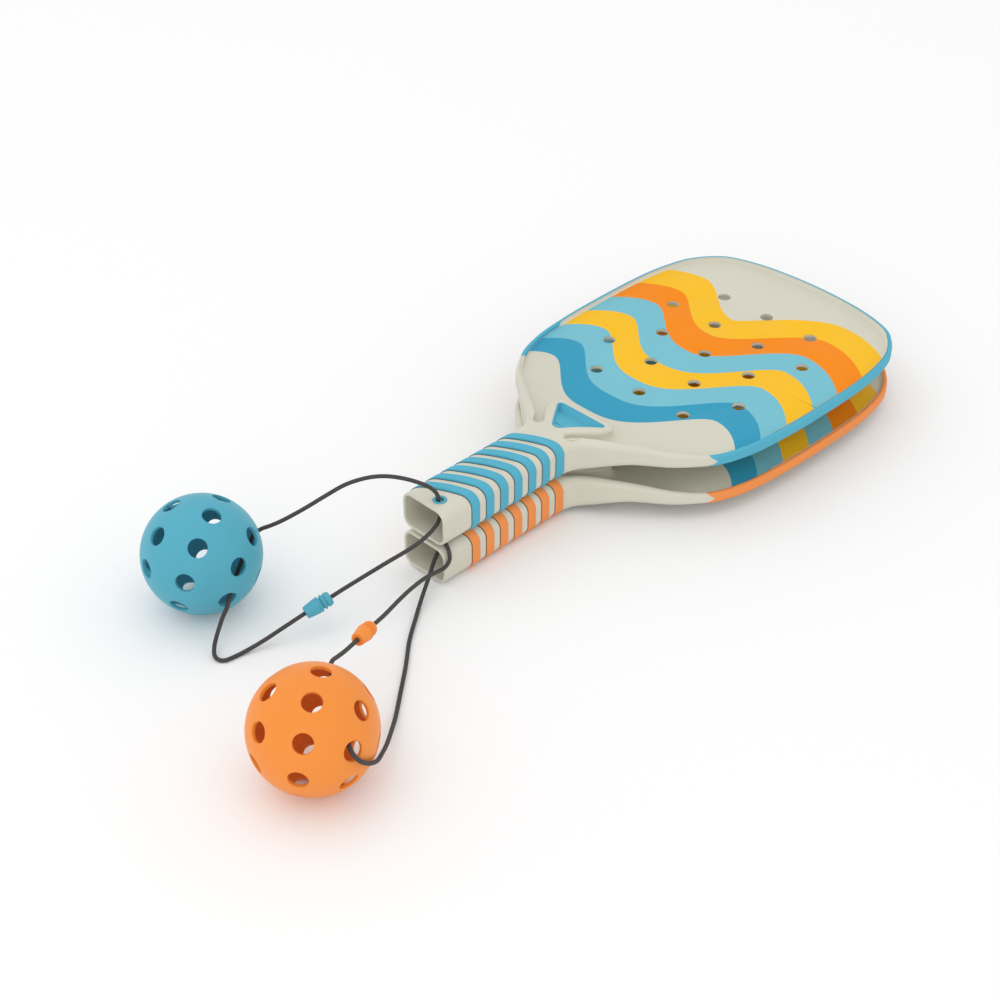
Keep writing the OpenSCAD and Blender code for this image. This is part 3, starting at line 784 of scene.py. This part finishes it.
def back_pocket(shell, low, up, radius=0.6, steps=3):
    """Wall of the shallow pocket under the blade, from the rim up to the plate. Returns its two rings."""
    pocket = (outline + inward * (RIM_W - SKIN))[outline[:, 0] > 153][::2]
    closing = evenly(np.array([pocket[-1], pocket[0]]), 2.5)[1:-1]
    pocket = np.concatenate([pocket, closing])
    into = loop_facing(pocket)
    rows = []
    for back, rise in quarter(steps):
        at = pocket - into * (radius * back)
        rows.append(np.column_stack([at, low(at[:, 0]) + radius * rise]))
    rows.append(np.column_stack([pocket, np.full(len(pocket), BACK_Z + up)]))
    return shell.rings(rows)


def air_holes(shell, up):
    """Walls of the air holes with softened edges. Returns their rings on the face and on the back."""
    ends = []
    wall = [(0.35, FACE_Z), (0.1, FACE_Z - 0.1), (0.0, FACE_Z - 0.35), (0.0, BACK_Z + 0.35),
            (0.1, BACK_Z + 0.1), (0.35, BACK_Z)]
    for centre in HOLES:
        ring = circle(centre, HOLE_R)
        towards = unit(np.asarray(centre) - ring)
        ends.append(shell.rings([
            np.column_stack([ring - towards * out, np.full(len(ring), z + up)]) for out, z in wall]))
    return zip(*ends)


def moulding(hue):
    """Hollow grip, neck, hub, arms and thin blade as one closed skin."""
    up = LEVELS[hue]

    def top(v):
        return top_at(v) - SKIN * under_guard(v) + up

    def low(v):
        return low_at(v) + SKIN * under_guard(v) + up

    shell = Shell()
    rows = outer_side(shell, up)
    grip_hollow(shell, up)
    _, top_edge, under_edge = grip_ring(WALL / 2, 0, up)
    upper, floor = face_hollow(shell, top, up)
    seat_top, bore_top = seat_and_bore(shell, top, up)
    outer = np.concatenate([rows[:, -1], top_edge[::-1]])
    hub = grid_inside(100, 147, 28, 1.8, [outer[:, :2], upper[:, :2], seat_top[:, :2]], 0.9)
    shell.fill([outer, upper, seat_top, bore_top], top, hub)
    rim_low, pocket_top = back_pocket(shell, low, up)
    under = np.concatenate([rows[:, 0], under_edge])
    shell.fill([under, rim_low], low, grid_inside(96, 140, 58, 2.2, [under[:, :2]], 0.9))
    rings_up, rings_down = air_holes(shell, up)
    valleys = grid_inside(110, 152, 72, 1.8, [floor[:, :2]], 0.7)
    shell.fill([floor, *rings_up], lambda v: floor_at(v) + up, valleys)
    shell.fill([pocket_top, *rings_down], level(BACK_Z + up))
    return shell.finish(f"{hue}_paddle_moulding", sharp=40)


# Soft guard round the blade

def guard_section():
    """(inset, height over the rim's middle) round the guard's section, with corners of two radii."""
    r_out, r_in = 1.9, 1.3
    corners = (
        (r_out, r_out, 1, 90), (r_in, RIM_W - r_in, 1, 0),
        (r_in, RIM_W - r_in, -1, -90), (r_out, r_out, -1, -180),
    )
    section = []
    for r, middle, side, start in corners:
        for a in np.radians(np.linspace(start + 90, start, 9)):
            section.append((middle + r * math.cos(a), side * (HALF_RIM - r) + r * math.sin(a)))
        if start == 0:
            section += [(RIM_W, v) for v in (1.5, 0.7, 0.0, -0.7, -1.5)]
        if start == -180:
            section += [(0.0, v) for v in (-1.2, -0.6, 0.0, 0.6, 1.2)]
    return section


def guard(hue, steps=420):
    """Its section carried along the outline, from chevron to chevron. The nearer a point is to the middle
    of the rim's height, the further on it starts, and all of them rise with the arm's slope."""
    along = distances(outline)
    half = along[len(along) // 2]
    front = outline[:len(outline) // 2, 0]
    climbs = np.argmax(front)
    t = np.linspace(0, 1, steps)
    columns = []
    for inset, height in guard_section():
        start_x = CHEVRON_X + CHEVRON * (1 - min(1.0, abs(height) / HALF_RIM))
        start = np.interp(start_x, front[:climbs], along[:climbs])
        where = start + (2 * half - 2 * start) * t
        at = at_distances(outline, where)
        n = unit(at_distances(inward, np.interp(where, along, distances(inward))))
        lift = (top_at(at[:, 0]) - RIM_TOP) * (height + HALF_RIM) / (2 * HALF_RIM)
        columns.append(np.column_stack([at + n * inset, MID_Z + height + lift + LEVELS[hue]]))
    shell = Shell()
    for end in shell.rings(np.stack(columns, axis=1)):
        shell.fan(end)
    return shell.finish(f"{hue}_guard_channel", sharp=50)


# Printed film

FILM_START_X, FILM_T = 152.0, 0.3


def film(hue):
    """Thin sheet on the face, with the air holes cut out, a soft edge and a thinner end near the hub."""
    loop, _ = hollow_loop(0.2)
    keep = loop[:, 0] > FILM_START_X
    first = np.argmax(keep & ~np.roll(keep, 1))
    order = np.roll(np.arange(len(loop)), -first)
    loop = loop[order][keep[order]]
    closing = evenly(np.array([loop[-1], loop[0]]), 2.0)[1:-1]
    loop = np.concatenate([loop, closing])
    shell = Shell()
    edge, thin = ((0.14, 1.0), (0.04, 0.87), (0.0, 0.5), (0.0, -0.3)), 0.03

    def height(v, share=1.0):
        return FACE_Z + (thin + (FILM_T - thin) * ease(v, FILM_START_X, 170)) * share + LEVELS[hue]

    def wall(ring, into):
        return shell.rings([
            np.column_stack([ring + into * inset, height(ring[:, 0], share)]) for inset, share in edge])

    ends = [wall(loop, loop_facing(loop))]
    for centre in HOLES:
        ends.append(wall(circle(centre, HOLE_R + 0.05), unit(circle(centre, 1.0) - centre)))
    tops, feet = zip(*ends)
    shell.fill(tops, height, [(v, w) for v in (156, 161, 166, 171) for w in range(-50, 51, 5)])
    shell.fill(feet, lambda v: height(v, edge[-1][1]))
    return shell.finish(f"{hue}_wave_film", sharp=40)


# Thumb rest

def thumb_pad(hue):
    """Set-in triangle: a low wall round a floor that falls from its tip and climbs back to its wide end."""
    up = LEVELS[hue]
    tip_x, foot_x, base_x, tip_drop, base_drop, drop = 116.5, 138.2, 142.6, 0.5, 0.25, 4.4

    def crown(v):
        return top_at(v) + 0.05 + up

    def floor(v):
        fall = tip_drop + (np.asarray(v) - tip_x) * (drop - tip_drop) / (foot_x - tip_x)
        climb = base_drop + (base_x - np.asarray(v)) * (drop - base_drop) / (base_x - foot_x)
        return crown(v) - np.minimum(fall, climb)

    outer, inner, under = thumb_loop(0.06), thumb_loop(0.95), GRIP_TOP - SEAT_DEPTH + 0.1 + up
    rows = [np.column_stack([outer, np.full(len(outer), under)])]
    rows.append(np.column_stack([outer, crown(outer[:, 0]) - 0.3]))
    for share, below in ((0.12, 0.08), (0.35, 0.0), (0.65, 0.0), (0.88, 0.08), (1.0, 0.3)):
        at = outer + (inner - outer) * share
        rows.append(np.column_stack([at, crown(at[:, 0]) - below]))
    for depth, rise in ((0.97, 0.9), (1.1, 0.35), (1.35, 0.08), (1.8, 0.0)):
        at = thumb_loop(depth)
        below_crown = crown(at[:, 0]) - 0.25 - 0.1 * depth
        rows.append(np.column_stack([at, np.minimum(floor(at[:, 0]) + rise, below_crown)]))
    shell = Shell()
    base, basin = shell.rings(rows)
    creases = [(v, w) for v in (foot_x - 0.5, foot_x, foot_x + 0.5) for w in np.arange(-12.5, 12.6, 1.25)]
    shell.fill([basin], floor, creases)
    shell.fill([base], level(under))
    return shell.finish(f"{hue}_thumb_pad", sharp=32)


# Bands round the grip

BAND_COUNT, BAND_FIRST, BAND_STEP = 7, 17.9, 12.4
BAND_SLANT, BAND_BOW = 26, 2.6
SIDE_PROUD, TOP_PROUD = 0.35, 1.5
# Rows round the grip as (along it, lift, share of the band's own height). First comes a thin ledge painted
# dark as the shadow in the gap at the band's butt side.
BAND_ROWS = [
    (-4.0, -0.2, 0.0), (-4.0, 0.08, 0.0), (-3.3, 0.08, 0.0), (-3.3, 0.0, 0.45), (-3.22, 0.0, 0.8),
    (-3.0, 0.0, 1.0), (-1.1, 0.0, 1.0), (1.1, 0.0, 1.0), (3.0, 0.0, 1.0), (3.22, 0.0, 0.8),
    (3.3, 0.0, 0.45), (3.3, -0.2, 0.0),
]
GAP_SHADOW_ROWS = 2


def neck_half(x):
    """Half the width of grip and neck at x."""
    front = outline[:len(outline) // 4]
    return np.interp(x, front[:, 0], front[:, 1])


def band(hue, index):
    """Soft band: rows carried round the grip at x - y * tan(slant) + bow * c, where c = 1 - (2y/w)^2. It
    stands off by SIDE_PROUD at the sides, and by up to TOP_PROUD, with c, over the top and underside."""
    centre = BAND_FIRST + BAND_STEP * index
    slant = math.tan(math.radians(BAND_SLANT))
    strip = side_strip(GRIP_TOP, GRIP_LOW, GRIP_R, GRIP_R, 13)
    y, z = GRIP_W / 2 - strip[:, 0], strip[:, 1]
    across = np.linspace(1, -1, 9)[1:-1] * y[-1]
    ys = np.concatenate([y, across, -y[::-1], -across])
    zs = np.concatenate([z, np.full(len(across), z[-1]), z[::-1], np.full(len(across), z[0])])
    ahead = unit(np.stack([np.roll(ys, -1) - np.roll(ys, 1), np.roll(zs, -1) - np.roll(zs, 1)], axis=-1))
    out_y, out_z = ahead[:, 1], -ahead[:, 0]
    proud = SIDE_PROUD + (TOP_PROUD - SIDE_PROUD) * (1 - (2 * ys / GRIP_W) ** 2) * np.abs(out_z)
    rows = []
    for along, lift, share in BAND_ROWS:
        off = lift + share * proud
        row_y, row_z = ys + out_y * off, zs + out_z * off
        bow = BAND_BOW * np.maximum(0.0, 1 - (2 * row_y / GRIP_W) ** 2)
        x = centre + along - row_y * slant + bow
        rows.append(np.column_stack([x, row_y * neck_half(x) / (GRIP_W / 2), row_z + LEVELS[hue]]))
    shell = Shell()
    shell.grid(np.array(rows), wrap_rows=True, wrap_columns=True)
    return shell.finish(f"{hue}_band_{index + 1}", sharp=38)


def dress_band(hue, index):
    """The band in its own colour, with a thin ledge in front of its butt side painted dark as the shadow in
    the gap there.
    """
    node = f"{hue}_grip_band_{index + 1}"
    thing = dress(band(hue, index), f"{hue}_paddle", RUBBER[hue], node, f"{hue}_rubber")
    thing.data.materials.append(PAINTED_GAP_SHADOW)
    faces = len(thing.data.polygons)
    # The first rows of faces get the dark strip painted as the gap's shadow.
    gap_shadow = np.arange(faces) < faces * GAP_SHADOW_ROWS // len(BAND_ROWS)
    thing.data.polygons.foreach_set("material_index", gap_shadow.astype(int))


# Turned pieces

def turned(name, profile, place, axis, steps=48, sharp=35):
    """Profile of (radius, height) pairs carried round an axis through place. It starts and ends on the
    axis, or else it closes on itself."""
    profile = np.array(profile, float)
    axis = unit(np.asarray(axis, float))
    side = unit(np.cross(axis, (0.37, 0.91, 0.18)))
    other = np.cross(axis, side)
    a = np.linspace(0, 2 * math.pi, steps, endpoint=False)[None, :, None]
    r, h = profile[:, 0][:, None, None], profile[:, 1][:, None, None]
    rows = np.asarray(place, float) + r * (np.cos(a) * side + np.sin(a) * other) + h * axis
    shell = Shell()
    shell.grid(rows, wrap_rows=bool(profile[0, 0] > 0), wrap_columns=True)
    return shell.finish(name, sharp=sharp)


def softened(points, radius, steps=4):
    """Rounds the corners of a profile: each becomes a curve between points radius before and after it."""
    p = np.array(points, float)
    out = [p[0]]
    for a, b, c in zip(p[:-2], p[1:-1], p[2:]):
        r = min(radius, 0.45 * np.linalg.norm(b - a), 0.45 * np.linalg.norm(c - b))
        start, end = b + unit(a - b) * r, b + unit(c - b) * r
        t = np.linspace(0, 1, steps + 1)[:, None]
        out += list(start * (1 - t) ** 2 + 2 * b * t * (1 - t) + end * t ** 2)
    return np.array(out + [p[-1]])


def eyelet(hue):
    """Grommet: a flat flange on the grip, a barrel through the wall and a lip under it."""
    bore, barrel, flange, lip = 2.5, 3.5, 4.45, 4.4
    profile = softened([
        (bore, -0.6), (bore, 0.1), (bore + 0.5, 0.45), (3.9, 0.45), (flange, 0.15), (flange, -0.8),
        (barrel, -0.8), (barrel, -2.1), (lip, -2.1), (lip, -2.8), (bore + 0.7, -2.8), (bore, -2.1),
        (bore, -0.8),
    ], 0.3)
    place = (*GROMMET_AT, GRIP_TOP + LEVELS[hue])
    return turned(f"{hue}_eyelet", profile, place, (0, 0, 1), sharp=60)


# The clasp's halves meet at this distance from its ball end.
PARTING = 10.62


def clasp_barrel(hue):
    """Tapered half of a clasp, with its socket towards the grip."""
    at, d = clasp_axis(hue)
    socket_r, socket_z, end_z = 2.1, 6.6, PARTING
    profile = softened([
        (0, 0.6), (1.6, 0.6), (1.7, 0), (3.5, 0), (4.0, 0.6), (4.95, 8.2), (5.0, 8.5), (4.72, 8.8),
        (4.72, 9.2), (5.15, 9.5), (5.15, 10.2), (4.7, end_z), (socket_r, end_z), (socket_r, socket_z),
        (0, socket_z),
    ], 0.25)
    return turned(f"{hue}_clasp_barrel", profile, at, d, sharp=50)


def clasp_end(hue):
    """Ribbed half of a clasp, with its plug."""
    at, d = clasp_axis(hue)
    plug_r, plug_z = 2.0, 6.7
    profile = softened([
        (0, plug_z), (plug_r, plug_z), (plug_r, PARTING), (3.6, PARTING), (3.6, 11.6), (4.75, 11.9),
        (4.85, 12.6), (4.75, 13.3), (3.9, 13.6), (3.9, 14.2), (4.65, 14.5), (4.6, 16.2), (4.2, 17.3),
        (3.4, 17.9), (0, CLASP_LEN),
    ], 0.28)
    return turned(f"{hue}_clasp_end", profile, at, d, sharp=60)


# Balls

BALL_R, BALL_WALL, BALL_HOLE_R = 37.0, 2.2, 5.85
BALL_TURN = {"blue": (-65.2, 43.2, 51.4), "orange": (120.4, -74.9, 7.5)}


def hole_directions():
    """Ten holes round the equator, seven on each side of it and one at each pole."""
    side_latitude, side_start = 45, 23.2
    pairs = [(0, 36 * i) for i in range(10)] + [(90, 0), (-90, 0)]
    pairs += [(side * side_latitude, side_start + 360 / 7 * i) for i in range(7) for side in (-1, 1)]
    la, lo = np.radians(np.array(pairs, float)).T
    return np.stack([np.cos(la) * np.cos(lo), np.cos(la) * np.sin(lo), np.sin(la)], axis=-1)


def turning(degrees):
    """Turn about x, then y, then z."""
    (cx, sx), (cy, sy), (cz, sz) = ((math.cos(math.radians(v)), math.sin(math.radians(v))) for v in degrees)
    about_x = np.array([[1, 0, 0], [0, cx, -sx], [0, sx, cx]])
    about_y = np.array([[cy, 0, sy], [0, 1, 0], [-sy, 0, cy]])
    about_z = np.array([[cz, -sz, 0], [sz, cz, 0], [0, 0, 1]])
    return about_z @ about_y @ about_x


def convex_faces(cloud):
    """Triangles of the convex hull of points that all lie on it."""
    hull = bmesh.new()
    verts = [hull.verts.new(p) for p in cloud]
    bmesh.ops.convex_hull(hull, input=verts)
    bmesh.ops.triangulate(hull, faces=hull.faces)
    order = {v: i for i, v in enumerate(verts)}
    faces = np.array([[order[v] for v in f.verts] for f in hull.faces])
    hull.free()
    return faces


def ball(hue, around=40, spread=5200):
    """Points spread evenly on a sphere and in rings round each hole, joined as their convex hull; the
    holes' lips are quarter circles carried round each hole, and the inside repeats the outside."""
    holes = hole_directions()
    lip, lip_rise, inner_r = 0.55, 0.09, BALL_R - BALL_WALL
    edge_angle = math.asin((BALL_HOLE_R + lip) / BALL_R)
    k = np.arange(spread) + 0.5
    height = 1 - 2 * k / spread
    lean = np.sqrt(1 - height ** 2)
    golden = k * math.pi * (3 - math.sqrt(5))
    field = np.stack([lean * np.cos(golden), lean * np.sin(golden), height], axis=-1)
    step = math.sqrt(4 * math.pi / spread)
    field = field[(field @ holes.T).max(axis=1) < math.cos(edge_angle + 0.9 * step)]
    a = np.linspace(0, 2 * math.pi, around, endpoint=False)[:, None]
    sides = unit(np.cross(holes, (0.31, 0.52, 0.79)))
    others = np.cross(holes, sides)
    rounds = [np.cos(a) * side + np.sin(a) * other for side, other in zip(sides, others)]

    def rims(angle):
        """Points of all the holes' rims on the unit sphere, at this angle from each hole's middle."""
        return np.concatenate([math.cos(angle) * h + math.sin(angle) * r for h, r in zip(holes, rounds)])

    cloud = np.concatenate([rims(edge_angle), field])
    faces = convex_faces(cloud)
    hole_of = np.where(np.arange(len(cloud)) < len(holes) * around, np.arange(len(cloud)) // around, -1)
    ends = hole_of[faces]
    lid = (ends[:, 0] >= 0) & (ends[:, 0] == ends[:, 1]) & (ends[:, 1] == ends[:, 2])
    faces = faces[~lid]
    turn, at = turning(BALL_TURN[hue]).T, BALL_AT[hue]
    shell = Shell()
    shell.add(cloud * BALL_R @ turn + at, faces)
    outer_h = BALL_R * math.cos(edge_angle)
    profile = [(BALL_HOLE_R + lip, outer_h)]
    for out, down in quarter(5)[1:]:
        profile.append((BALL_HOLE_R + lip * out, outer_h - lip * down + lip_rise * (1 - out)))
    profile.append((BALL_HOLE_R, math.sqrt(inner_r ** 2 - BALL_HOLE_R ** 2)))
    r, z = np.array(profile).T
    for h, ring in zip(holes, rounds):
        rows = r[:, None, None] * ring[None] + z[:, None, None] * h
        shell.rings(rows @ turn + at)
    inner = np.concatenate([rims(math.asin(BALL_HOLE_R / inner_r)), field]) * inner_r
    shell.add(inner @ turn + at, faces[:, ::-1])
    return shell.finish(f"{hue}_holed_ball", sharp=50)


# The pieces in their materials and on their bodies

for hue in LEVELS:
    grip = f"{hue}_paddle"
    dress(moulding(hue), grip, CREAM_PLASTIC, grip, "cream_plastic")
    dress(guard(hue), grip, RUBBER[hue], f"{hue}_edge_guard", f"{hue}_rubber")
    dress(film(hue), grip, PRINT, f"{hue}_face_print", "print")
    dress(thumb_pad(hue), grip, RUBBER[hue], f"{hue}_thumb_rest", f"{hue}_rubber")
    dress(eyelet(hue), grip, BALL_PLASTIC[hue], f"{hue}_grommet", f"{hue}_plastic")
    for index in range(BAND_COUNT):
        dress_band(hue, index)
    plastic, slot = BALL_PLASTIC[hue], f"{hue}_plastic"
    dress(ball(hue), f"{hue}_ball", plastic, f"{hue}_ball", slot)
    barrel = dress(clasp_barrel(hue), f"{hue}_loop", plastic, f"{hue}_clasp_socket", slot)
    end = dress(clasp_end(hue), f"{hue}_cap", plastic, f"{hue}_clasp_cap", slot)
    tube, path = cords[hue]
    in_frame(path[0])
    distances(path)[-1] * 0.001
    in_frame(path)


# Floor, lamps and world

HALF_FLOOR = 6.0
LAMPS = {"over": ((-0.4, 0.5, 1.8), 2.0), "front": ((-1.5, -0.9, 0.7), 1.2)}
LAMP_POWER, ROOM_LIGHT, ROOM_SEEN = 3.0, 0.92, 1.0


def studio():
    """A white floor that keeps the shadow, a pale world that gives most of the light, and two lamps."""
    floor = bpy.data.meshes.new("floor")
    corners = [(x * HALF_FLOOR, y * HALF_FLOOR, 0) for x, y in ((-1, -1), (1, -1), (1, 1), (-1, 1))]
    floor.from_pydata(corners, [], [(0, 1, 2, 3)])
    floor_thing = add_object("floor", floor)
    white = Finish("white_floor", Roughness=0.9, Specular_IOR_Level=0.0)
    rays = white.node("ShaderNodeLightPath", output="Is Camera Ray")
    gloss = white.node("ShaderNodeLightPath", output="Is Glossy Ray")
    seen = rays.math("MAXIMUM", gloss)
    white.feed(Base_Color=white.mix(seen, (0.88, 0.88, 0.88, 1), (1.0, 1.0, 1.0, 1)))
    floor_thing.data.materials.append(white.material)

    world = bpy.data.worlds.new("pale_room")
    bpy.context.scene.world = world
    world.use_nodes = True
    tree = world.node_tree
    tree.nodes.clear()
    mix = tree.nodes.new("ShaderNodeMixShader")
    for k, strength in enumerate((ROOM_LIGHT, ROOM_SEEN)):
        pale = tree.nodes.new("ShaderNodeBackground")
        pale.inputs["Color"].default_value = (1, 1, 1, 1)
        pale.inputs["Strength"].default_value = strength
        tree.links.new(pale.outputs[0], mix.inputs[k + 1])
    path = tree.nodes.new("ShaderNodeLightPath")
    tree.links.new(path.outputs["Is Camera Ray"], mix.inputs[0])
    tree.links.new(mix.outputs[0], tree.nodes.new("ShaderNodeOutputWorld").inputs["Surface"])

    for name, (place, size) in LAMPS.items():
        lamp = bpy.data.lights.new(name, "AREA")
        lamp.size = size
        lamp.energy = LAMP_POWER
        thing = add_object(name, lamp)
        thing.location = place
        thing.rotation_euler = (Vector(place) - Vector((0.05, 0, 0))).to_track_quat("Z", "Y").to_euler()


studio()
bpy.context.scene.view_settings.view_transform = "Standard"
